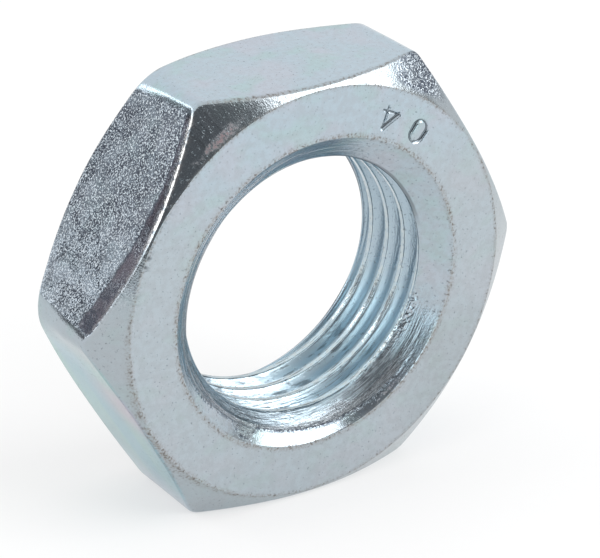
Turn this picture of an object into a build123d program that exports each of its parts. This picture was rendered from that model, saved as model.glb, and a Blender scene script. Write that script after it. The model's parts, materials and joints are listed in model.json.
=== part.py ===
from build123d import *
import os
from math import cos, radians, tan

# A thin hexagon nut, M16 with a fine 1.5 mm pitch. Sizes are in millimetres.
# It stands on one flat: +Z is up, the bore runs along Y, and the marked face looks along -Y.

# The pressed hexagon blank. The press fills its corners better at the marked end than at the plain end.
across_flats = 24.0
thickness = 7.7
marked_end_corner_round = 0.4
plain_end_corner_round = 2.2

# The cone turned on both ends, which takes the six corners off
chamfer_setback = 0.25
chamfer_angle = 36.5
cut_edge_round = 0.35

# The thread and its hole, bored at the wide end of its tolerance
thread_diameter = 16.0
thread_pitch = 1.5
thread_depth_in_pitches = 0.54125
bore_tolerance = 0.3

# The countersink at both mouths of the hole
countersink_overlap = 0.88
countersink_angle = 110.0

# Room past the hexagon's corners, so that the turned ring reaches beyond them all round
turning_allowance = 1.0

half_thickness = thickness / 2
bore_radius = (thread_diameter + bore_tolerance) / 2 - thread_depth_in_pitches * thread_pitch
mouth_radius = thread_diameter / 2 + countersink_overlap
countersink_depth = (mouth_radius - bore_radius) / tan(radians(countersink_angle / 2))
chamfer_radius = across_flats / 2 - chamfer_setback
turned_radius = across_flats / 2 / cos(radians(30)) + turning_allowance
chamfer_depth = (turned_radius - chamfer_radius) * tan(radians(chamfer_angle))

# The nut's middle: x to the right, y up, and z out of the marked face along the bore
nut_middle = Plane(origin=(0, 0, across_flats / 2), x_dir=(1, 0, 0), z_dir=(0, -1, 0))


def end_outline(height, corner_round):
    """The blank's outline at a height above the nut's middle: six flats that meet in rounded corners."""
    hexagon = RegularPolygon(radius=across_flats / 2, side_count=6, major_radius=False)
    return nut_middle.offset(height) * fillet(hexagon.vertices(), radius=corner_round)


def hexagon_blank():
    """The blank: its two ends, six plane flats, and corners ruled from one end's arcs to the other's."""
    marked_end = end_outline(half_thickness, marked_end_corner_round)
    plain_end = end_outline(-half_thickness, plain_end_corner_round)
    faces = [*marked_end.faces(), *plain_end.faces()]
    for marked_edge, plain_edge in zip(marked_end.edges(), plain_end.edges()):
        side = Face.make_surface_from_curves(marked_edge, plain_edge)
        is_flat = marked_edge.geom_type == GeomType.LINE
        faces.append(Face(side.outer_wire()) if is_flat else side)
    return Solid(Shell(faces))


def turned_ring():
    """What turning leaves: a ring with the bore, and with a countersink and a chamfer cone at each end.
    Its four rims stay crisp."""
    near_end = [
        (bore_radius, half_thickness - countersink_depth),
        (mouth_radius, half_thickness),
        (chamfer_radius, half_thickness),
        (turned_radius, half_thickness - chamfer_depth),
    ]
    far_end = [(radius, -height) for radius, height in reversed(near_end)]
    section = make_face(Polyline(*near_end, *far_end, close=True))
    return revolve(Plane.XZ * section, axis=Axis.Z)


def nut():
    """The blank, kept only where the turned ring is, with the edges rounded where the cones cut its sides:
    an arch on each flat, and a short curve over each corner."""
    sharp_nut = hexagon_blank() & nut_middle * turned_ring()
    cone_edges = sharp_nut.faces().filter_by(GeomType.CONE).edges()
    arches = cone_edges.filter_by(GeomType.HYPERBOLA)
    corner_cuts = cone_edges.filter_by(GeomType.BSPLINE)
    return fillet(arches + corner_cuts, radius=cut_edge_round)


os.makedirs("parts", exist_ok=True)
nut_body = nut()
export_step(nut_body, "parts/nut_body.step")
bore_length = thickness - 2 * countersink_depth
print(f"nut_body: {nut_body.volume:.1f} mm3, bore radius {bore_radius:.3f}, bore length {bore_length:.3f}")
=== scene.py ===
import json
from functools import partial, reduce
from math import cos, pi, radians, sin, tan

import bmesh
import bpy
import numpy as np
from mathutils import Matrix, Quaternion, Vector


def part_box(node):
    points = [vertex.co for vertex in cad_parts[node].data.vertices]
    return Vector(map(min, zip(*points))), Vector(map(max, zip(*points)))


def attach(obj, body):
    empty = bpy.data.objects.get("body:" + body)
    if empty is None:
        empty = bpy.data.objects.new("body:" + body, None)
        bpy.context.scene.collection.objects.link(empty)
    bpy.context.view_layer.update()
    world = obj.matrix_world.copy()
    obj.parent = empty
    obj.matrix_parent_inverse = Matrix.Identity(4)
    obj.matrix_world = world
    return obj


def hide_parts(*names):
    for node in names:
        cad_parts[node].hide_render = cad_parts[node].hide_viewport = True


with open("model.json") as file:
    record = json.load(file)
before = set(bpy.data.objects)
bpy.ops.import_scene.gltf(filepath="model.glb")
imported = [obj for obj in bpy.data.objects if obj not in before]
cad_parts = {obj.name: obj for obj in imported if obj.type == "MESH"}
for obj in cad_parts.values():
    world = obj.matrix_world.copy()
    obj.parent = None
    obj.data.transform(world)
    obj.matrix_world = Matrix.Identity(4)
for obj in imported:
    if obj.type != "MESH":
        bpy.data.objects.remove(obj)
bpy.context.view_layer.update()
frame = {"record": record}

# %% [markdown]
# # A thin zinc-plated nut, from its CAD solid to a picture
#
# A jam nut is a slice of hexagon bar with a thread in it. Its beauty is in how pressed, turned, tapped and
# plated steel throws the light back. The CAD solid gives the size and the place of everything. This lesson
# works the same nut out again as one fine surface, cuts the thread and the stamped number into it, plates
# it, and lights it as small metal parts are lit: in a white surround, with two soft windows and a few
# cards.
#
# Blender works in metres, and a machinist in millimetres. The nut's sizes are in millimetres here, and its
# mesh is turned into metres in one place.

MILLIMETRE = 0.001

# %% [markdown]
# ## The sizes come from the CAD solid
#
# The box round the solid gives the width across the flats, the thickness and the width across the
# corners. The record gives the hole. What the box can't say, such as the angle of the corner cone, is
# written down once, as it would be on a drawing.

# %% Read the solid's sizes
nut_low, nut_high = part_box("nut_body")
thread_mount = next(mount for mount in frame["record"]["mounts"] if mount["name"] == "thread")

flat_reach = (nut_high.z - nut_low.z) / 2 / MILLIMETRE
corner_reach = (nut_high.x - nut_low.x) / 2 / MILLIMETRE
half_thickness = (nut_high.y - nut_low.y) / 2 / MILLIMETRE
bore_radius = thread_mount["dims"]["r_mm"]
half_bore = thread_mount["dims"]["length_mm"] / 2
bore_height = (nut_high.z + nut_low.z) / 2 / MILLIMETRE
print(f"flats {2 * flat_reach:.2f}, corners {2 * corner_reach:.2f}, bore radius {bore_radius}")

# %% Work out the sizes that follow
countersink_angle, chamfer_angle = 110, 36.5
chamfer_setback = 0.25
mouth_round, circle_round, edge_round = 0.1, 0.12, 0.35
thread_pitch, root_radius = 1.5, 8.0
countersink_slope = tan(radians(countersink_angle / 2))
chamfer_slope = tan(radians(chamfer_angle))
mouth_radius = bore_radius + (half_thickness - half_bore) * countersink_slope
chamfer_radius = flat_reach - chamfer_setback
sharpest_round = (flat_reach / cos(pi / 6) - corner_reach) / (1 / cos(pi / 6) - 1)
print(f"mouth {mouth_radius:.2f}, chamfer circle {chamfer_radius:.2f}, sharpest round {sharpest_round:.2f}")

# %% [markdown]
# ## The camera
#
# The nut stands on one flat. The camera looks down on its marked face from the left, through a long
# lens, so that the two ends of the nut are nearly the same size. The angles and the distance place it,
# and a small roll turns its picture.

# %% Place the camera
def direction(azimuth, elevation):
    """The unit vector towards a point of the sky. Azimuth 0 is in front of the marked face, towards -Y,
    and grows towards +X; elevation is above the floor. Both are in degrees."""
    a, e = radians(azimuth), radians(elevation)
    return Vector((sin(a) * cos(e), -cos(a) * cos(e), sin(e)))


def add_object(name, data):
    """A new object with that mesh, lamp or camera, put into the scene."""
    piece = bpy.data.objects.new(name, data)
    bpy.context.scene.collection.objects.link(piece)
    return piece


camera_side = direction(-34.98, 26.06)
camera_target = Vector((0.836, -0.897, 11.477)) * MILLIMETRE
camera_distance = 184.55 * MILLIMETRE
camera_roll = radians(1.43)

camera_data = bpy.data.cameras.new("camera")
camera_data.sensor_width = 36
camera_data.lens = 205.98
camera_data.clip_start = 0.01
camera_data.clip_end = 20
camera = add_object("camera", camera_data)
camera.location = camera_target + camera_side * camera_distance
camera.rotation_mode = "QUATERNION"
camera.rotation_quaternion = camera_side.to_track_quat("Z", "Y") @ Quaternion((0, 0, 1), camera_roll)
bpy.context.scene.camera = camera
bpy.context.scene.view_settings.view_transform = "Standard"
print("camera at", [round(value / MILLIMETRE, 1) for value in camera.location])

# %% [markdown]
# ## Small helpers for shader nodes
#
# A material is a graph. A helper makes a node and its links in one line: every input is given by its
# name, as a plain value or as another node's output.

# %% Helpers that build a node graph
def add_node(tree, kind, inputs=(), **settings):
    """Makes a shader node of that kind, sets its settings, and fills its inputs: a socket is linked, and
    anything else becomes the input's own value."""
    node = tree.nodes.new("ShaderNode" + kind)
    for name, value in settings.items():
        setattr(node, name, value)
    for name, value in dict(inputs).items():
        if isinstance(value, bpy.types.NodeSocket):
            tree.links.new(value, node.inputs[name])
        else:
            node.inputs[name].default_value = value
    return node


def new_material(name):
    """An empty material, and the helper that adds a node to it."""
    material = bpy.data.materials.new(name)
    material.use_nodes = True
    material.node_tree.nodes.clear()
    return material, partial(add_node, material.node_tree)


# %% [markdown]
# ## The set
#
# The floor is a plain pale sheet. To the camera, and to metal that mirrors it, it is lifted a little so
# that it reads as white, and the nut still shades it where it stands. The world is a plain white
# surround of the same level, so a mirror-like face shows its own colour and nothing else.

# %% Lay the floor
floor_reach = 2.0
floor_lift = 0.5
floor_grey = (0.42, 0.42, 0.42, 1)
SQUARE = ((-1, -1), (1, -1), (1, 1), (-1, 1))


def add_sheet(name, corners, material):
    """A sheet of that material between four corners."""
    mesh = bpy.data.meshes.new(name)
    mesh.from_pydata([tuple(corner) for corner in corners], [], [(0, 1, 2, 3)])
    mesh.materials.append(material)
    return add_object(name, mesh)


def white_card():
    """White card: Diffuse, plus a little light of its own for rays that come from the camera or from a
    reflection."""
    material, add = new_material("white_card")
    path = add("LightPath").outputs
    seen = path["Is Camera Ray"]
    for ray in ("Is Glossy Ray", "Is Transmission Ray"):
        seen = add("Math", {0: seen, 1: path[ray]}, operation="MAXIMUM").outputs[0]
    lift = add("Math", {0: seen, 1: floor_lift}, operation="MULTIPLY").outputs[0]
    card = add("BsdfDiffuse", {"Color": floor_grey})
    glow = add("Emission", {"Color": (1, 1, 1, 1), "Strength": lift})
    both = add("AddShader", {0: card.outputs[0], 1: glow.outputs[0]})
    add("OutputMaterial", {"Surface": both.outputs[0]})
    return material


floor = add_sheet("floor", [(x * floor_reach, y * floor_reach, 0) for x, y in SQUARE], white_card())
print("floor", floor_reach * 2, "m square")

# %% Fill the world with a plain white surround
world_level = 1.0
world = bpy.data.worlds.new("white_surround")
world.use_nodes = True
world.node_tree.nodes.clear()
surround = add_node(world.node_tree, "Background", {"Color": (1, 1, 1, 1), "Strength": world_level})
add_node(world.node_tree, "OutputWorld", {"Surface": surround.outputs[0]})
bpy.context.scene.world = world
print("surround:", world.name, "at level", world_level)

# %% [markdown]
# Two soft windows give the clean white edges: a broad one in front on the right, and a long low one on
# the left. Their level is a brightness that a reflection shows, and Blender asks for watts, so the helper
# works one out from the other: a flat lamp of area A that looks L bright gives pi * A * L watts.

# %% Hang the soft windows
nut_middle = Vector((0, 0, bore_height * MILLIMETRE))


def hang_window(name, azimuth, elevation, width, height, distance, level):
    """A rectangular lamp that faces the middle of the nut from that side. Its width and height are
    angles in degrees as the nut sees them, and its level is how bright its face looks."""
    light = bpy.data.lights.new(name, "AREA")
    light.shape = "RECTANGLE"
    light.size = 2 * distance * tan(radians(width / 2))
    light.size_y = 2 * distance * tan(radians(height / 2))
    light.energy = pi * light.size * light.size_y * level
    side = direction(azimuth, elevation)
    window = add_object(name, light)
    window.location = nut_middle + side * distance
    window.rotation_mode = "QUATERNION"
    window.rotation_quaternion = side.to_track_quat("Z", "Y")
    window.visible_camera = False


hang_window("window_front_right", azimuth=42, elevation=32.5, width=46, height=31, distance=0.6, level=3.3)
hang_window("window_left", azimuth=-113, elevation=27, width=84, height=14, distance=0.6, level=2.1)

# %% [markdown]
# Metal in a white room looks like paper. Dark cards, hung where nothing but a reflection sees them, bring
# back its depth: one stands where the photographer and a dim room would be, one close by behind the left
# corner, where only the upper left flat sees it, a small one beside the right-hand window, and one that
# reaches in below that window, which dims the flanks low in the bore. A pale blue one, low in front and
# set on its corner, lights the thread's flanks and spares the cones.

# %% Hang the cards
def hang_card(name, azimuth, elevation, width, height, distance, colour, roll=0):
    """A flat card that faces the nut, with its width, height and roll in degrees, and that glows evenly
    in its colour. Only reflections meet it: it throws no shadow, and the camera looks through it."""
    across = distance * tan(radians(width / 2))
    up = distance * tan(radians(height / 2))
    side = direction(azimuth, elevation)
    facing = side.to_track_quat("Z", "Y") @ Quaternion((0, 0, 1), radians(roll))
    middle = nut_middle + side * distance
    material, add = new_material(name)
    glow = add("Emission", {"Color": (*colour, 1), "Strength": 1.0})
    add("OutputMaterial", {"Surface": glow.outputs[0]})
    card = add_sheet(name, [middle + facing @ Vector((x * across, y * up, 0)) for x, y in SQUARE], material)
    for ray in ("camera", "diffuse", "transmission", "volume_scatter", "shadow"):
        setattr(card, "visible_" + ray, False)
    return card


dim, blue = (0.145, 0.145, 0.155), (2.1, 2.4, 2.5)
cards = [
    hang_card("card_dim_room", azimuth=-21, elevation=24, width=74, height=52, distance=0.5, colour=dim),
    hang_card("card_blue", azimuth=-8.5, elevation=-1.5, width=30, height=30, distance=0.45, colour=blue,
              roll=45),
    hang_card("card_near_left", azimuth=-129, elevation=18, width=30, height=30, distance=0.064, colour=dim),
    hang_card("card_right", azimuth=68, elevation=13, width=11, height=13, distance=0.5, colour=dim),
    hang_card("card_step", azimuth=23, elevation=21, width=13, height=18, distance=0.45, colour=dim),
]
print("cards:", [card.name for card in cards])

# %% [markdown]
# ## The nut as one surface
#
# Cut the nut in half through its axis, and the cut shows a closed outline: in along one countersink,
# along the bore, out along the other countersink, across the end face, down the corner cone, along the
# side, and back the same way at the other end. Carry that outline once round the axis, while its outer
# side follows the hexagon, and it sweeps the whole nut. So the shape is a function of two parameters,
# the angle round the axis and the place along the outline. Everything below fills in that function.
#
# A Boolean cut of a hexagon and a cone would give the same edges, but with long thin faces that can't
# carry the thread's run-out, the stamped number or the small unevenness of a pressed part.
#
# In this section a point is an angle, a radius from the bore's axis and a height above the nut's middle
# plane, towards the marked face.

# %% Blend two surfaces where they cross
def smooth_max(a, b, blend):
    """The larger of a and b, with the crease between them rounded: max(a, b) + h * h / (4 * blend), where
    h is how far blend exceeds the difference of a and b, and never below 0."""
    overlap = np.maximum(blend - np.abs(a - b), 0)
    return np.maximum(a, b) + overlap ** 2 / (4 * blend)


def smooth_min(a, b, blend):
    """The smaller of a and b, with its crease rounded the same way."""
    return -smooth_max(-a, -b, blend)


# %% [markdown]
# The metal fills the corners of the press well at the marked end, and less and less towards the plain end,
# where each corner is blunt by another amount. The sharpest round, which the solid's box gives, is the one
# at the marked end.

# %% The hexagon's side
marked_end_rounds = np.full(6, sharpest_round)
plain_end_rounds = np.array([2.2, 1.1, 2.1, 2.6, 1.1, 2.0])
middle_rounds = marked_end_rounds * 0.75 + plain_end_rounds * 0.25


def side_radius(angle, corner_rounds):
    """How far the side is from the axis, in a direction. With t the angle from the nearest corner, it is
    flat / cos(30 degrees - |t|) on a flat. Near a corner it is the arc of radius q about a centre that is c
    out: c * cos(t) + sqrt(q * q - c * c * sin(t) ** 2)."""
    nearest = np.round(angle / (pi / 3))
    t = np.abs(angle - nearest * pi / 3)
    q = corner_rounds[nearest.astype(int) % 6]
    centre = (flat_reach - q) / cos(pi / 6)
    arc_reach = np.arctan2(q * sin(pi / 6), centre + q * cos(pi / 6))
    inside = np.minimum(t, arc_reach)
    arc = centre * np.cos(inside) + np.sqrt(q ** 2 - (centre * np.sin(inside)) ** 2)
    return np.where(t < arc_reach, arc, flat_reach / np.cos(pi / 6 - t))


print("side at the corners, mm:", side_radius(np.arange(6) * pi / 3, plain_end_rounds).round(2))

# %% [markdown]
# The columns of the mesh are directions round the axis. They needn't be evenly spaced: the rounded
# corners and the stamped digits need them close together, and a plain stretch of flat doesn't. A density
# says how many columns a degree gets, and its running total, read backwards, gives the angles.

# %% Choose the columns
digit_middles = (52.35, 65.3)
digit_ring = 10.12


def column_angles():
    """Angles from 0 to 360 degrees, both included, in radians, as close together as the density asks."""
    degree = np.linspace(0, 360, 36001)
    from_corner = np.abs((degree + 30) % 60 - 30)
    digits = (degree > digit_middles[0] - 4.6) & (degree < digit_middles[1] + 4.8)
    density = np.where(digits, 4.4, 0.58 + 0.9 * (from_corner < 5.5))
    total = np.concatenate([[0], np.cumsum((density[1:] + density[:-1]) / 2 * np.diff(degree))])
    return np.radians(np.interp(np.linspace(0, total[-1], round(total[-1]) + 1), total, degree))


angles = column_angles()
turn = angles[None, :]
degrees = np.degrees(turn)
print(f"columns: {len(angles)}, closest {np.diff(degrees).min():.3f} degrees")

# %% [markdown]
# The outline is made of straight stretches and rounded corners, like a drawing with fillets. Each corner
# is a point, or an array with a point for each column, because the cone meets the side at another height
# in every direction: low at the corners of the hexagon and high in the middle of a flat. That one fact
# makes the arched edges that a chamfered nut is known by.

# %% Straight stretches and rounded corners
def on_columns(radius, height):
    """A point of the outline in every column, as an array of (radius, height)."""
    return np.stack(np.broadcast_arrays(radius, height, angles)[:2], axis=-1).astype(float)


def straight(start, end, shares):
    """Rows of points on the line from start to end, at those shares of the way."""
    shares = np.asarray(shares, float)[:, None, None]
    return start + (end - start) * shares


def rounded(before, corner, after, radius, steps):
    """Rows of points on the arc that rounds a corner: its centre lies on the corner's bisector, radius /
    sin(half the corner's angle) away, and it meets both lines radius / tan(half the angle) from there."""
    towards_before = (before - corner) / np.linalg.norm(before - corner, axis=-1, keepdims=True)
    towards_after = (after - corner) / np.linalg.norm(after - corner, axis=-1, keepdims=True)
    half = np.arccos(np.clip((towards_before * towards_after).sum(-1, keepdims=True), -1, 1)) / 2
    bisector = towards_before + towards_after
    bisector /= np.linalg.norm(bisector, axis=-1, keepdims=True)
    centre = corner + bisector * radius / np.sin(half)
    first = corner + towards_before * radius / np.tan(half) - centre
    last = corner + towards_after * radius / np.tan(half) - centre
    sweep = np.pi - 2 * half
    share = np.linspace(0, 1, steps + 1)[:, None, None]
    return centre + (first * np.sin((1 - share) * sweep) + last * np.sin(share * sweep)) / np.sin(sweep)


# %% [markdown]
# Each row also says what kind of surface it lies on. The plating is the same everywhere, but a pressed
# flat is grainy, a turned cone has rings and a tapped thread has drag marks, so the material needs to
# know. These marks ride on the mesh as attributes, from 0 to 1.

# %% Half of the outline, from the countersink to the middle of the side
ZONES = ("flat_side", "corner_cone", "end_face", "countersink", "thread", "edge")
join_radius = root_radius + 0.035
join_height = half_bore + (join_radius - bore_radius) / countersink_slope
face_margin = 0.06


def zone_rows(rows, **levels):
    """The rows with their zone levels: each level is one number, or a list with one for each row."""
    table = np.zeros((len(rows), len(ZONES)))
    for zone, level in levels.items():
        table[:, ZONES.index(zone)] = level
    return rows, np.broadcast_to(table[:, None, :], rows.shape[:2] + (len(ZONES),))


def half_outline(corner_rounds, sink_rows, face_rows, cone_rows, side_rows):
    """Points and zones of one end of the nut, from inside the countersink out to the middle of the side.
    The corners have that end's rounds where the cone cuts the side, and the middle's rounds there."""
    side = side_radius(angles, corner_rounds)
    sink_start = on_columns(join_radius, join_height)
    mouth = on_columns(mouth_radius, half_thickness)
    circle = on_columns(chamfer_radius, half_thickness)
    cut = on_columns(side, half_thickness - (side - chamfer_radius) * chamfer_slope)
    middle = on_columns(side_radius(angles, middle_rounds), 0.0)
    mouth_arc = rounded(sink_start, mouth, circle, mouth_round, 4)
    circle_arc = rounded(mouth, circle, cut, circle_round, 3)
    cut_arc = rounded(circle, cut, middle, edge_round, 6)
    inset = face_margin / (chamfer_radius - mouth_radius)
    across_face = np.linspace(inset, 1 - inset, face_rows)
    parts = [
        zone_rows(straight(sink_start, mouth_arc[0], np.linspace(0, 1, sink_rows)[:-1]), countersink=1),
        zone_rows(mouth_arc, countersink=[1, 0.7, 0.5, 0.2, 0], end_face=[0, 0.3, 0.5, 0.8, 1]),
        zone_rows(straight(mouth_arc[-1], circle_arc[0], across_face), end_face=1),
        zone_rows(circle_arc, end_face=[1, 0.6, 0.3, 0], corner_cone=[0, 0.4, 0.7, 1]),
        zone_rows(straight(circle_arc[-1], cut_arc[0], np.linspace(0, 1, cone_rows)[1:-1]), corner_cone=1),
        zone_rows(cut_arc, corner_cone=[1, 0.8, 0.6, 0.4, 0.2, 0, 0], flat_side=[0, 0.2, 0.4, 0.6, 0.8, 1, 1],
                  edge=[0.3, 0.8, 1, 1, 1, 0.8, 0.3]),
        zone_rows(straight(cut_arc[-1], middle, [0.03, *np.linspace(0.08, 1, side_rows)]), flat_side=1),
    ]
    return [np.concatenate(kind) for kind in zip(*parts)]


# %% Both halves, joined at the middle of the side
front, front_zones = half_outline(marked_end_rounds, sink_rows=21, face_rows=46, cone_rows=8, side_rows=14)
back, back_zones = half_outline(plain_end_rounds, sink_rows=10, face_rows=12, cone_rows=7, side_rows=8)
blank_r, blank_h = np.moveaxis(np.concatenate([front, back[-2::-1] * (1, -1)]), -1, 0)
outer_zones = np.concatenate([front_zones, back_zones[-2::-1]])
level = dict(zip(ZONES, np.moveaxis(outer_zones, -1, 0)))
print("outer rows:", len(blank_r))

# %% [markdown]
# ## The thread
#
# A tapped thread is a 60 degree groove that climbs one pitch a turn. A grid whose rows ran straight round
# the bore would cross the groove's sharp edges at a slant and chew them into steps. So here every row is
# a helix of its own: it keeps its place in the groove's section and climbs with it, and after one turn
# row j meets the row one pitch further on. The cones at both mouths cut the groove off, which makes the
# crescent-shaped run-out that a real nut shows.

# %% The thread's own section
crest_half_width, first_crest = 0.19, -3.228
crest_blend, root_blend, cone_blend = 0.14, 0.12, 0.03


def thread_radius(offset, slope):
    """The groove's radius at an axial distance from a crest's middle: the crest, a flank that rises with
    that slope from the crest's edge, and the root, with their corners rounded."""
    away = np.abs((offset + thread_pitch / 2) % thread_pitch - thread_pitch / 2)
    flank = bore_radius + (away - crest_half_width) * slope
    return smooth_max(bore_radius, smooth_min(flank, root_radius, root_blend), crest_blend)


def countersink_radius(height):
    """The radius of the cone that is nearer, which is less than the bore's between the two."""
    return bore_radius + (np.abs(height) - half_bore) * countersink_slope


def signed_degrees(angle):
    """An angle in degrees from -180 to 180: 0 is to the right, and below it they are negative."""
    return (np.degrees(angle) + 180) % 360 - 180


def flank_slope(height, angle):
    """The tangent of the flank's angle to the axis: of 60 degrees, and of about 43 low down at the marked
    end, from 60 to 165 degrees below the right, where torn metal has filled the end of the groove."""
    degree = signed_degrees(angle)
    filled = np.clip((-degree - 60) / 15, 0, 1) * np.clip((degree + 165) / 15, 0, 1)
    return tan(radians(60)) * (1 - 0.46 * filled * np.clip((height - 2.35) / 0.2, 0, 1))


# %% Rows that follow the helix
half_section = np.array([0, 0.07, 0.125, 0.155, 0.185, 0.215, 0.255, 0.38, 0.50, 0.54, 0.58, 0.64, 0.75])
section_offsets = np.concatenate([half_section, thread_pitch - half_section[-2:0:-1]])


def thread_grid():
    """Radius and height for rows of helices in every column. Rows that run past a cone's edge stop there,
    one on another, and are welded together afterwards. The first row is a whole turn below the lower
    edge and the last one starts above the upper edge, so every column is covered."""
    turns = first_crest + thread_pitch * np.arange(-9, 10)
    starts = (turns[:, None] + section_offsets[None, :]).ravel()
    lowest = np.searchsorted(starts, -join_height - thread_pitch, side="right") - 1
    highest = np.searchsorted(starts, join_height)
    climb = thread_pitch * turn / (2 * pi)
    height = np.clip(starts[lowest:highest + 1, None] + climb, -join_height, join_height)
    groove = thread_radius(height - first_crest - climb, flank_slope(height, turn))
    return smooth_max(groove, countersink_radius(height), cone_blend), height


thread_r, thread_h = thread_grid()
print(f"thread rows: {len(thread_r)}, radii {thread_r.min():.3f} to {thread_r.max():.3f}")

# %% Zones of the thread
def thread_zones():
    """The thread's zones: thread where the groove stands clear of the cones, countersink where a cone
    has cut it away, and edge on the crests."""
    on_cone = np.clip(1 - (thread_r - countersink_radius(thread_h)) / 0.06, 0, 1)
    crest = np.clip(1 - (thread_r - bore_radius - 0.01) / 0.06, 0, 1)
    return {"thread": 1 - on_cone, "countersink": on_cone, "edge": crest * (1 - on_cone)}


thread_levels = thread_zones()

# %% [markdown]
# Towards its ends a real thread isn't clean. The tap sat a little off the middle of the countersink, so
# low down on the cone it tore a wide crescent into fine ragged rings, with a beaded ridge as its outer
# line. Higher up only a trace of it is left.

# %% The torn crescent
torn_degrees, torn_reaches, torn_strengths = np.array([
    (-180, 8.4, 0.5), (-150, 8.25, 0.6), (-135, 8.1, 0.7), (-128, 8.1, 0.8), (-124, 8.6, 0.9),
    (-119, 8.7, 0.9), (-115, 8.06, 1), (-106, 8.13, 1), (-95, 8.21, 1), (-83, 8.3, 1),
    (-77, 8.35, 1), (-60, 8.42, 1), (-47, 8.42, 1), (-38, 8.4, 0.4), (-25, 8.3, 0.04),
    (-8, 8.2, 0.03), (120, 7.9, 0.05), (160, 8.3, 0.3), (180, 8.4, 0.5),
]).T


def tear(radius, angle, on_cone):
    """The torn level, the ridge's level, and how far the ragged rings and the beaded ridge stand in towards
    the axis. The table gives the radius of the crescent's outer line and how strongly the cone is torn, by
    direction. The rings are sine waves across the cone, 0.17 to 0.35 mm apart, that drift slowly round it,
    and they fade where the tap polished the cone inside the line, low on the left."""
    degree = signed_degrees(angle)
    inside = np.interp(degree, torn_degrees, torn_reaches) - radius
    strength = np.interp(degree, torn_degrees, torn_strengths)
    fade = np.interp(degree, [-120, -108, -80, -62], [0, 0.6, 0.65, 0]) * np.clip(inside / 0.2 - 0.9, 0, 1)
    torn = on_cone * strength * np.clip(0.5 + inside / 0.08, 0, 1) * (1 - fade)
    random = np.random.default_rng(11)
    rings = 0
    for _ in range(14):
        wavelength, turns = random.uniform(0.17, 0.35), random.integers(2, 9)
        drift = random.uniform(0.4, 1.2) * np.sin(turns * angle + random.uniform(0, 2 * pi))
        rings += np.sin(2 * pi * radius / wavelength + random.uniform(0, 2 * pi) + drift)
    beads = 0.6 + 0.4 * np.sin(61 * angle + 3 * np.sin(7 * angle)) * np.sin(23 * angle + 1)
    fading = np.interp(degree, [-125, -108], [0.4, 1])
    ridge = on_cone * strength * np.exp(-(inside / 0.045) ** 2) * beads * fading
    beaded = on_cone * strength * np.exp(-(inside / 0.09) ** 2) * np.interp(degree, [-75, -50], [1, 0.25])
    return torn, beaded, 0.0035 * torn * rings + 0.032 * ridge


torn_depth = 0.1 + 1.5 * np.clip((-signed_degrees(turn) - 68) / 25, 0, 1)
near_mouth = np.clip(1 + (thread_h - half_bore) / torn_depth, 0, 1) ** 2.2
near_mouth *= 1 - 0.85 * thread_levels["edge"]
cone_r = np.clip(countersink_radius(thread_h), bore_radius - 0.4, join_radius)
thread_levels["torn"], thread_levels["ridge"], thread_tear = tear(cone_r, turn, near_mouth)
print(f"torn rings up to {np.abs(thread_tear).max():.3f} mm high")

# %% [markdown]
# ## The stamped number
#
# The strength class is struck into the face with a punch: narrow grooves with steep walls and a little
# raised lip of pushed-up metal. Its tops point to the bore. Each digit is a set of strokes in its own
# small drawing, where x runs to the right and y up, and the depth of the groove is a function of the
# distance to the nearest stroke. The number is the plain class 04 of thin nuts, from the public standard.

# %% Distances to the digits' strokes
def distance_to_line(x, y, start, end):
    """The distance to the line from start to end: to its nearest point, whose share of the way is the
    projection, kept between 0 and 1."""
    along = np.array(end) - start
    share = np.clip(((x - start[0]) * along[0] + (y - start[1]) * along[1]) / (along @ along), 0, 1)
    return np.hypot(x - start[0] - share * along[0], y - start[1] - share * along[1])


def distance_to_zero(x, y):
    """The digit 0: the distance to an upright loop, two straight sides joined by half circles. The punch
    struck lightly at its top and foot, so up to 0.07 is added there."""
    half_width, half_straight = 0.44, 0.2
    beyond = np.maximum(np.abs(y) - half_straight, 0)
    return np.abs(np.hypot(x, beyond) - half_width) + 0.07 * np.clip(beyond / half_width, 0, 1) ** 2


def distance_to_four(x, y):
    """The digit 4: the nearest of its stem, its slanting stroke and its bar. The slanting one is struck
    deepest, so something is added to the distances to the others."""
    top, foot, left, right = (0.2, 0.6), (0.26, -0.62), (-0.54, -0.36), (0.52, -0.36)
    strokes = ((top, foot, 0.05), (top, left, 0), (left, right, 0.06))
    return np.minimum.reduce([distance_to_line(x, y, start, end) + less for start, end, less in strokes])


# %% The depth of the stamp
stamp_depth = 0.14
lip_height = 0.012


def stamp(radius, angle):
    """How far the face is pushed in: the full depth within 0.06 of a stroke's middle, a smooth wall to
    0.15, and just outside it a lip that stands out. The digits bend with their ring."""
    distance, y = 1.0, digit_ring - radius
    for middle, digit in zip(digit_middles, (distance_to_zero, distance_to_four)):
        x = (angle - radians(middle)) * digit_ring
        near = (np.abs(x) < 1.2) & (np.abs(y) < 1.2)
        distance = np.where(near, np.minimum(distance, digit(x, y)), distance)
    wall = np.clip((distance - 0.06) / 0.09, 0, 1)
    groove = 1 - wall * wall * (3 - 2 * wall)
    lip = np.exp(-((distance - 0.19) / 0.045) ** 2)
    return stamp_depth * groove - lip_height * lip


# %% [markdown]
# ## Unevenness
#
# No pressed flat is truly flat. A gentle wave, a few hundredths of a millimetre deep, makes reflections
# drift across it as they do on the real one. It comes from a sum of long sine waves in random
# directions, which is smooth, has no seam, and is the same each run because the random numbers start
# from a fixed seed. It only ever takes metal away, so the nut stays inside the solid's box.

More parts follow.
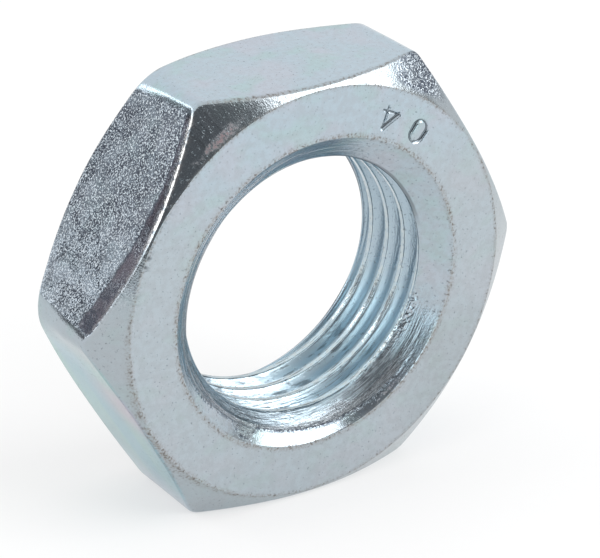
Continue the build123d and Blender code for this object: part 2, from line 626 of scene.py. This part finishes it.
# %% A field of gentle waves
def waves(points, wavelength, seed):
    """A smooth random field of about -1 to 1 at points in millimetres: sixteen sine waves of random
    direction and phase and of nearly the same length, added up and divided by 4."""
    random = np.random.default_rng(seed)
    heading = random.normal(size=(16, 3))
    heading /= np.linalg.norm(heading, axis=1, keepdims=True)
    heading *= 2 * pi / (wavelength * random.uniform(0.8, 1.3, (16, 1)))
    return np.sin(points @ heading.T + random.uniform(0, 2 * pi, 16)).sum(-1) / 4


def to_space(radius, height, angle):
    """Points in the row frame, in millimetres: x to the right, y away from the marked face, z up."""
    return np.stack([radius * np.cos(angle), -height, radius * np.sin(angle) + bore_height], axis=-1)


# %% [markdown]
# One of the six flats, the upper left one, came out rough: a worn die has torn its skin into a dense grain
# of tiny hollows. Along its front edge runs a smoother strip, a shallow bevel that widens downwards.

# %% The rough flat and its bevel
def ramp(value, low, high):
    """0 below low, 1 above high and a smooth step, s * s * (3 - 2 * s), between them."""
    share = np.clip((value - low) / (high - low), 0, 1)
    return share * share * (3 - 2 * share)


def rough_flat(height):
    """1 on the rough flat and 0 past the rounded corners on both sides of it, which are wider at the
    plain end."""
    plain = np.clip(0.5 - height / 2 / half_thickness, 0, 1)
    return ramp(degrees, 121 + 2.2 * plain, 123 + 2.6 * plain) * (1 - ramp(degrees + 2.5 * plain, 177, 178.5))


def below_arch(height):
    """How far a point of the side lies behind the marked end's arched edge, in millimetres."""
    side = side_radius(angles, marked_end_rounds)[None, :]
    return half_thickness - (side - chamfer_radius) * chamfer_slope - height


def bevel_margin(height):
    """How far a point of the side lies inside the bevel's inner line, in millimetres: the bevel's width
    there less the distance to the arched edge."""
    return 0.5 + 0.7 * np.clip((degrees - 130) / 44, 0, 1) - below_arch(height)


def soft_corner(height):
    """The rough flat's front upper corner is worn round. This is how far a point lies beyond an arc that
    touches both of the corner's edges, in millimetres."""
    arc = 0.9
    from_edge = np.radians(degrees - 121) * corner_reach
    x, y = np.maximum(arc - from_edge, 0), np.maximum(arc - below_arch(height), 0)
    return np.clip(np.hypot(x, y) - arc, 0, 0.5)


def on_straight_cone(radius, height):
    """Whether a point is on the straight part of a countersink, up to 0.12 mm from its rim."""
    off_cone = np.abs(radius - countersink_radius(height))
    return (off_cone < 0.01) & (radius < mouth_radius - 0.12)


# %% Press, stamp and tap
def finish_outer():
    """The outer rows with their waves, bevel, torn ridge and stamp: sides, cones and countersinks move
    along the radius, and faces along the height."""
    radius, height = blank_r.copy(), blank_h.copy()
    place = to_space(radius, height, angles)
    slow, middling, quick = [np.clip(waves(place, length, 3), -1, 1) for length in (5.0, 2.4, 1.3)]
    sides = np.maximum(level["flat_side"], level["corner_cone"])
    rough = rough_flat(height)
    radius -= sides * (0.010 * (1 + slow) + 0.002 * (1 + quick) + rough * 0.016 * (1 + middling))
    rough_side = rough * level["flat_side"]
    radius -= 0.07 * np.maximum(bevel_margin(height), 0) * rough_side
    radius -= 0.5 * soft_corner(height) ** 2 * rough_side
    torn, ridge, torn_height = tear(radius, turn, on_straight_cone(radius, height) * (height > 0))
    radius -= torn_height
    dip = level["end_face"] * (0.004 * (1 + slow) + 0.001 * (1 + quick))
    height -= np.sign(height) * (dip + lip_height * level["end_face"])
    marked = (height > 0) & (level["end_face"] > 0.9)
    pushed = np.where(marked, stamp(radius, turn), 0)
    return radius, height - pushed, {"stamp": pushed / stamp_depth, "torn": torn, "ridge": ridge}


outer_r, outer_h, outer_marks = finish_outer()
print(f"stamp is {outer_marks['stamp'].max() * stamp_depth:.3f} mm deep")

# %% [markdown]
# The plating needs more marks than the zones, again from 0 to 1 in most places: how grainy or brushed the
# steel is, how near a rim lies, and where the nut is rusty, worn bright and painted brighter as a highlight,
# or covered with a clear film. Each is a product of ramps and bells along the angle and the radius.

# %% How grainy or brushed each place is
def bell(value, middle, width):
    """1 in the middle and less on both sides of it: exp(-((value - middle) / width) ** 2)."""
    return np.exp(-((value - middle) / width) ** 2)


def grain_level():
    """The grain: full on the rough flat and stronger low down on it, less on its bevel, faint on the other
    flats and on the cone, with two rougher stretches of the cone, at the upper right and at the lower
    left. Then the level of the bevel."""
    rough = rough_flat(blank_h) * (1 - ramp(soft_corner(blank_h), 0, 0.1))
    on_bevel = ramp(bevel_margin(blank_h), -0.1, 0.15)
    flats = rough * (1 - 0.75 * on_bevel + 1.1 * ramp(degrees, 148, 170)) + (1 - rough) * 0.06
    upper_right = ramp(blank_r, 11.85, 12.35) * bell(degrees, 60, np.where(degrees < 60, 8, 5))
    cone = 0.05 + 0.9 * upper_right + 0.14 * bell(degrees, 164, 6)
    return level["flat_side"] * flats + level["corner_cone"] * cone, level["flat_side"] * rough * on_bevel


def brushed_level():
    """The brushed look: streaks on the cone at the upper left, and short hairs on the end face beside its
    circle, where the turning tool dragged the metal."""
    cone = 0.04 + 0.5 * bell(degrees, 121, 11) + 0.6 * bell(degrees, 156, 9)
    hairs = 1.6 * bell(blank_r, chamfer_radius, 0.3) * bell(degrees, 155, 11)
    return np.maximum(level["corner_cone"] * cone, level["end_face"] * hairs)


outer_grain, outer_bevel = grain_level()
print(f"grain from {outer_grain.min():.2f} to {outer_grain.max():.2f}")

# %% How near each place is to a rim, and where it is rusty, worn with a painted highlight, or filmed over
def rim_level():
    """1 on a rim and less beside it: the rim of the countersink, the circle where the cone meets the end
    face, which is crumbly and wide at the lower left, and the arched edge of the top flat."""
    below = half_thickness - np.abs(blank_h)
    mouth = bell(np.hypot(blank_r - mouth_radius - 0.05, below), 0, 0.15)
    crumbly = bell(degrees, 212, 24)
    reach = 0.11 + (0.08 + 0.26 * (blank_r > chamfer_radius)) * crumbly
    circle = (0.8 + 0.2 * crumbly) * bell(np.hypot(blank_r - chamfer_radius, below), 0, reach)
    arches = 1 - ramp(np.abs(degrees - 90), 26, 30) + 0.7 * (1 - ramp(np.abs(degrees - 216), 8, 18))
    return np.maximum(np.maximum(mouth, circle), 0.8 * level["edge"] * arches)


def rust_level():
    """Two rusty patches at the marked end: one on the corner cone at the upper left, one in the
    countersink at the lower right."""
    on_corner = bell(degrees, 121, 7.5) * bell(blank_r, 12.08, 0.2)
    in_sink = 0.55 * bell(degrees, 305, 9) * bell(blank_r, 8.66, 0.13)
    return (blank_h > 0) * np.maximum(on_corner, in_sink)


def worn_level():
    """The bright worn stretch of the rough flat's arched edge, at the marked end and high up, painted
    brighter as a highlight.
    """
    high_up = 1 - 0.85 * ramp(degrees, 138, 158)
    return level["edge"] * rough_flat(blank_h) * (blank_h > 0) * high_up


def film_level():
    """How thick the clear film is: it ran down and dried on the lower left flat."""
    return level["flat_side"] * ramp(degrees, 178, 196) * (1 - ramp(degrees, 226, 242))


outer_levels = level | outer_marks | {
    "grain": outer_grain, "bevel": outer_bevel, "brushed": brushed_level(), "rim": rim_level(),
    "rust": rust_level(), "worn": worn_level(), "film": film_level(),
}
print("levels:", *outer_levels)

# %% [markdown]
# Two grids now describe the nut, and their edges lie on each other: the first and last rows meet in the
# countersinks, and the last column meets the first. Welding points that coincide closes the surface, and
# a closed surface has exactly two faces at each edge, which is counted to be sure.

# %% Turn the grids into one closed mesh
weld_distance = 0.0002


def grid_faces(rows, columns, start):
    """Four-sided faces between neighbouring rows and columns of a grid whose points begin at start."""
    corner = start + np.arange(rows - 1)[:, None] * columns + np.arange(columns - 1)[None, :]
    return np.stack([corner, corner + columns, corner + columns + 1, corner + 1], axis=-1).reshape(-1, 4)


def build_nut():
    """The mesh of the whole nut: both grids, their attributes, welded and checked."""
    points = np.concatenate([to_space(outer_r, outer_h, angles).reshape(-1, 3),
                             to_space(thread_r - thread_tear, thread_h, angles).reshape(-1, 3)])
    faces = np.concatenate([grid_faces(*outer_r.shape, 0), grid_faces(*thread_r.shape, outer_r.size)])
    mesh = bpy.data.meshes.new("nut")
    mesh.from_pydata(points * MILLIMETRE, [], faces.tolist())
    nothing = np.zeros(thread_r.shape)
    for name, values in outer_levels.items():
        both = np.concatenate([values.ravel(), thread_levels.get(name, nothing).ravel()])
        mesh.attributes.new(name, "FLOAT", "POINT").data.foreach_set("value", both.astype(np.float32))
    shell = bmesh.new()
    shell.from_mesh(mesh)
    bmesh.ops.remove_doubles(shell, verts=shell.verts, dist=weld_distance * MILLIMETRE)
    open_edges = sum(len(edge.link_faces) != 2 for edge in shell.edges)
    triangles = sum(len(face.verts) - 2 for face in shell.faces)
    volume = shell.calc_volume(signed=True) / MILLIMETRE ** 3
    shell.to_mesh(mesh)
    shell.free()
    mesh.shade_smooth()
    print(f"nut: {triangles} triangles, {open_edges} open edges, {volume:.0f} cubic millimetres")
    return mesh


nut = add_object("jam_nut", build_nut())

# %% [markdown]
# ## Zinc plating
#
# Bright zinc is a metal film with a thin clear passivation over it. A few things make it look real, and
# the material lays them one over another, all in millimetres on the nut's own coordinates: the blue-grey
# colour with faint pink and green drifts, the rainbow of a clear film on one flat, brown stain and pits
# along the rims, the grain that the press leaves on the flats, and the rings and drag marks of the tools.

# %% Shorthands for the plating's graph
plating, add = new_material("zinc_plated_steel")
place = add("TexCoord").outputs["Object"]
millimetres = add("VectorMath", {0: place, "Scale": 1 / MILLIMETRE}, operation="SCALE").outputs[0]


def maths(operation, a, b=0):
    """The result of a Math node on two values."""
    return add("Math", {0: a, 1: b}, operation=operation).outputs[0]


def total(*values):
    """The sum of several values."""
    return reduce(partial(maths, "ADD"), values)


def product(*values):
    """The product of several values."""
    return reduce(partial(maths, "MULTIPLY"), values)


def rest(share):
    """What a share leaves of 1."""
    return maths("SUBTRACT", 1, share)


def less_half(value):
    """The value less a half, so that noise goes both ways."""
    return maths("SUBTRACT", value, 0.5)


def zone(name):
    """The level of one of the mesh's zones."""
    return add("Attribute", attribute_name=name).outputs["Fac"]


def stretched(x=1, y=1, z=1):
    """The place in millimetres, with each axis multiplied by its number."""
    return add("VectorMath", {0: millimetres, 1: (x, y, z)}, operation="MULTIPLY").outputs[0]


def noise(per_millimetre, detail=2, roughness=0.5, at=millimetres):
    """Noise from 0 to 1 with about that many features in a millimetre."""
    inputs = {"Vector": at, "Scale": per_millimetre, "Detail": detail, "Roughness": roughness}
    return add("TexNoise", inputs).outputs["Fac"]


def between(value, low, high):
    """0 below low, 1 above high and a smooth step between them. low may be the larger one."""
    inputs = {"Value": value, "From Min": low, "From Max": high}
    return add("MapRange", inputs, interpolation_type="SMOOTHSTEP").outputs["Result"]


def mix(share, first, second):
    """A colour between first and second. A colour is three numbers or a socket."""
    first, second = [(*colour, 1) if isinstance(colour, tuple) else colour for colour in (first, second)]
    return add("Mix", {"Factor": share, 6: first, 7: second}, data_type="RGBA").outputs[2]


def coat(colour, *layers):
    """The colour under layers of paint, each a share and the colour that it brings."""
    for share, paint in layers:
        colour = mix(share, colour, paint)
    return colour


def count_nodes(step):
    """Prints how many nodes the graph has after a step."""
    print(len(plating.node_tree.nodes), "nodes after the", step)


# %% [markdown]
# ### Marks of the tools
#
# A lathe or a countersinking tool leaves rings, so its marks are noise that changes fast across the rings
# and slowly along them. The direction from the axis, shrunk, gives a coordinate that is slow round the
# nut and has no seam, and the distance from the axis, or along the bore, gives the fast one.

# %% Coordinates that follow the rings
parts = add("SeparateXYZ", {0: millimetres}).outputs
across, along, upward = parts[0], parts[1], maths("SUBTRACT", parts[2], bore_height)
from_axis = maths("SQRT", total(product(across, across), product(upward, upward)))
ring_place = total(from_axis, maths("ABSOLUTE", along))


def ring_marks(turns, lines, detail=2):
    """Noise with about that many features in a radian round the axis, and lines of them a millimetre
    across the rings."""
    vector = add("CombineXYZ", {
        0: product(maths("DIVIDE", across, from_axis), turns),
        1: product(maths("DIVIDE", upward, from_axis), turns),
        2: product(ring_place, lines),
    }).outputs[0]
    return noise(1, detail, at=vector)


count_nodes("ring coordinates")

# %% [markdown]
# ### Colour, coat by coat
#
# On the real nut a film tints the zinc, and dirt and rust lie on the film. The material paints in the same
# order: each coat has a share that says where it lies, made of zones, ramps across the nut and noise.

# %% The plating's colour
zinc_blue = (0.470, 0.580, 0.660)
zinc_rose = (0.545, 0.555, 0.640)
zinc_green = (0.420, 0.590, 0.600)
dull_grey = (0.345, 0.370, 0.385)
# The thread's two colours are painted light: a darker blue as painted shade, and a lighter one as a painted
# highlight.
thread_painted_shade_blue = (0.420, 0.520, 0.590)
thread_painted_highlight = (0.590, 0.765, 0.860)
crest_painted_highlight = (0.600, 0.655, 0.650)
stain_brown = (0.270, 0.240, 0.210)
rim_dark = (0.130, 0.110, 0.095)
rust = (0.215, 0.125, 0.130)
face_grey = (0.475, 0.512, 0.535)
cone_grey = (0.370, 0.415, 0.435)
grain_painted_highlight = (0.600, 0.710, 0.820)
worn_edge_highlight = (0.860, 0.865, 0.850)
pit_grey = (0.100, 0.115, 0.130)
grain_dark = (0.050, 0.062, 0.088)
grain_glint = (0.800, 0.880, 0.940)
bevel_brown = (0.115, 0.100, 0.125)
torn_grey = (0.190, 0.197, 0.205)
film_cyan, film_green = (0.105, 0.335, 0.410), (0.160, 0.410, 0.360)
film_rose, film_violet = (0.415, 0.300, 0.385), (0.230, 0.295, 0.400)

drift = between(noise(0.33, at=stretched(1, 0.6, 1)), 0.46, 0.64)
second_drift = between(noise(0.55, at=stretched(0.8, 1, 1.3)), 0.50, 0.68)
mottle = between(noise(3, 3, 0.6), 0.35, 0.65)
low_right = product(between(upward, -1, -4.5), between(across, -1.5, 2.5))
# Painted shade: the end face is made duller towards its lower right.
painted_face_shade = product(between(upward, -1, -6), between(across, 4, 8.5), zone("end_face"))
# A dull grey: a random mottle, darker countersinks, and the painted shade on the end face's lower right.
mottle_and_painted_shade = total(product(zone("countersink"), 0.35), product(mottle, 0.2),
                 product(zone("end_face"), mottle, 0.04), product(painted_face_shade, 0.3))
# Painted shade: the side is made darker at its far left.
painted_left_shade = product(between(across, -12.5, -13.2), zone("flat_side"))
colour = coat(
    zinc_blue,
    (total(product(drift, 0.45), product(mottle, 0.12)), zinc_rose),
    (product(second_drift, 0.6), zinc_green),
    (product(zone("end_face"), total(0.6, product(between(upward, 4, 9.5), -0.4))), face_grey),
    (product(zone("corner_cone"), 0.75), cone_grey),
    # the mottle, the darker countersinks and the painted shade on the end face
    (mottle_and_painted_shade, dull_grey),
    # Painted reflection on the thread: its flanks are a darker blue for the shaded floor they mirror, and
    # lighter at the lower right as a painted highlight.
    (product(zone("thread"), 0.9), mix(low_right, thread_painted_shade_blue, thread_painted_highlight)),
    # Painted highlight: the thread's crests are paler.
    (product(zone("thread"), zone("edge"), total(0.15, product(mottle, 0.5))), crest_painted_highlight),
    # the painted shade at the far left of the side
    (product(painted_left_shade, 0.6), cone_grey),
)
count_nodes("base colour")

# %% The film's colours, in soft streaks along the lower left flat, with a rosy patch
hue = noise(1, 1, at=stretched(0.07, 0.42, 0.07))
rosy = product(between(upward, -6.8, -4.2), between(upward, -1.6, -3.8), between(along, 1, -3))
film = coat(
    film_cyan,
    (between(hue, 0.36, 0.64), film_green),
    (product(between(hue, 0.46, 0.72), between(upward, -4, -10)), film_violet),
    (product(rosy, 0.85), film_rose),
)
count_nodes("film")

# %% The film, stain along the rims, rust, specks, and darkening deep in the stamp
fine_noise = noise(6.5, 2, 0.6)
rim_stain = product(zone("rim"), total(0.12, product(between(fine_noise, 0.36, 0.60), 0.5)),
                    between(noise(0.9), 0.20, 0.55))
ragged_rust = total(zone("rust"), product(less_half(noise(2.6, 3, 0.65)), 1.1))
rusty = product(between(ragged_rust, 0.22, 0.80), total(0.8, product(between(fine_noise, 0.46, 0.56), -0.6)))
specks = product(between(fine_noise, 0.63, 0.72), 0.5)
colour = coat(
    colour,
    (product(zone("film"), 0.78), film),
    (rim_stain, stain_brown),
    (product(zone("rim"), between(fine_noise, 0.54, 0.64), 0.7), rim_dark),
    (rusty, rust),
    (specks, pit_grey),
    # Darker where the stamp is deep.
    (product(between(zone("stamp"), 0.3, 0.95), 0.8), pit_grey),
)
count_nodes("stains")

# %% The grain of the pressed flats, with painted highlights and glints, the bevel beside it and the worn edge
grain = noise(10.8)
cloud = noise(0.75, 3, 0.55)
smears = between(noise(0.9, 4, 0.6, at=stretched(1.5, 1, 1)), 0.54, 0.42)
grainy = between(zone("grain"), 0.04, 0.5)
pitting = product(between(grain, 0.55, 0.46), grainy, total(0.65, product(between(cloud, 0.58, 0.43), 0.35)))
# Painted highlight: the grain's light parts are lighter low down on the flat.
bright = total(0.4, product(between(upward, 6, 1), 0.4))
ragged = total(zone("bevel"), product(less_half(noise(4)), 0.9))
on_bevel = product(between(ragged, 0.35, 0.65), total(0.5, product(between(cloud, 0.35, 0.6), 0.4)))
low_bevel = product(zone("bevel"), between(upward, 4.5, 2), between(noise(1.6, 3, 0.6), 0.58, 0.46))
# Painted shade: a dark line along the crease between the grain and the bevel.
crease_end = total(0.85, product(between(upward, 5, 1.5), 0.5))
crease = product(between(ragged, 0.15, 0.45), between(ragged, crease_end, 0.55),
                 between(zone("grain"), 0, 0.3), total(0.45, product(between(upward, 2, 5.5), 0.35)))
colour = coat(
    colour,
    (pitting, grain_dark),
    # the painted highlight in the grain, more of it low down
    (product(grainy, rest(pitting), bright), grain_painted_highlight),
    # The grain is darker towards the top of the flat.
    (product(grainy, between(upward, 1, 8), 0.42), grain_dark),
    (product(grainy, smears, 0.42), grain_dark),
    # Painted glints: white specks in the grain.
    (product(grainy, between(grain, 0.53, 0.65), 0.85), grain_glint),
    (on_bevel, bevel_brown),
    (product(low_bevel, 0.75), grain_dark),
    # the painted shade in the crease
    (crease, grain_dark),
    # The worn edge, also painted brighter as a highlight.
    (product(zone("worn"), between(noise(3), 0.3, 0.5)), worn_edge_highlight),
)
count_nodes("grain")

# %% The colour of rings, torn metal and drag marks, and a painted shadow line high in the bore
cone_streaks = ring_marks(52, 2.2, 3)
beady = total(0.25, product(between(across, 2, -3), 0.25))
torn_streaks = total(product(ring_marks(9, 11, 3), rest(beady)), product(grain, beady))
beads = product(zone("ridge"), between(noise(6.5, 1), 0.52, 0.45))
drag_lines = product(between(ring_marks(6, 9, 3), 0.53, 0.63), zone("thread"), between(upward, -4.5, -6.5))
# Painted shadow: a thin dark line where the countersink meets the thread, high in the bore.
lip = product(between(from_axis, 7.56, 7.47), between(along, -2.3, -2.6), between(upward, 1.5, 3.5),
              between(across, -1, 2))
colour = coat(
    colour,
    (product(between(cone_streaks, 0.5, 0.68), zone("brushed"), 0.6), pit_grey),
    (product(zone("torn"), total(0.5, product(low_right, 0.28))), torn_grey),
    (product(between(torn_streaks, 0.53, 0.45), zone("torn"), 0.8), pit_grey),
    (product(beads, 0.9), grain_dark),
    (product(drag_lines, 0.6), pit_grey),
    # the painted shadow line high in the bore
    (product(lip, 0.6), pit_grey),
)
count_nodes("rings")

# %% [markdown]
# ### Relief
#
# Pits and rings catch the light because they are rough. Modelled, they would take millions of faces, so
# the noises that colour them also raise and sink the surface, as bump, by up to a tenth of a millimetre.

# %% The relief in millimetres: marks on their zones, then dents and a fine skin everywhere
upper_left = product(between(across, 3, -2), between(upward, -4, 0))
low_left = product(between(upward, -3.5, -6), between(across, 1.5, -1.5))
sink_waves = product(less_half(ring_marks(1.5, 2.6, 1)), upper_left, 0.06)
last_crest = product(between(along, -2.1, -2.4), between(from_axis, 7.75, 7.5), low_right,
                     between(across, 2.5, 3.5))
relief = total(
    product(less_half(grain), zone("grain"), 0.1),
    product(less_half(cone_streaks), zone("brushed"), 0.03),
    product(total(sink_waves, product(less_half(ring_marks(5, 8)), 0.003)), zone("countersink")),
    product(less_half(noise(4.2, 1)), last_crest, 0.09),
    product(less_half(torn_streaks), zone("torn"), 0.08),
    product(less_half(ring_marks(9, 7)), zone("thread"), total(0.014, product(low_left, 0.03))),
    product(less_half(noise(4)), zone("edge"), zone("thread"), 0.014),
    product(less_half(noise(1.6)), 0.005),
    product(less_half(noise(9)), 0.003),
    product(specks, -0.01),
    product(beads, -0.03),
)
count_nodes("relief")

# %% Join it all in the metal shader
bump = add("Bump", {"Height": relief, "Distance": MILLIMETRE, "Strength": 1.0})
flank = product(zone("thread"), rest(zone("edge")))
roughness = total(0.17, product(zone("end_face"), 0.06), product(rim_stain, 0.2), product(rusty, 0.4),
                  product(flank, total(0.1, product(low_right, 0.03))))
metallic = rest(total(product(rusty, 0.9), product(rim_stain, 0.3)))
metal = add("BsdfPrincipled", {
    "Base Color": colour, "Metallic": metallic, "Roughness": roughness, "Normal": bump.outputs[0],
})
add("OutputMaterial", {"Surface": metal.outputs[0]})
nut.data.materials.append(plating)
count_nodes("metal shader")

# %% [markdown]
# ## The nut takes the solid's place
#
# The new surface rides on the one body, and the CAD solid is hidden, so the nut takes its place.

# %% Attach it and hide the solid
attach(nut, "root")
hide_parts("nut_body")
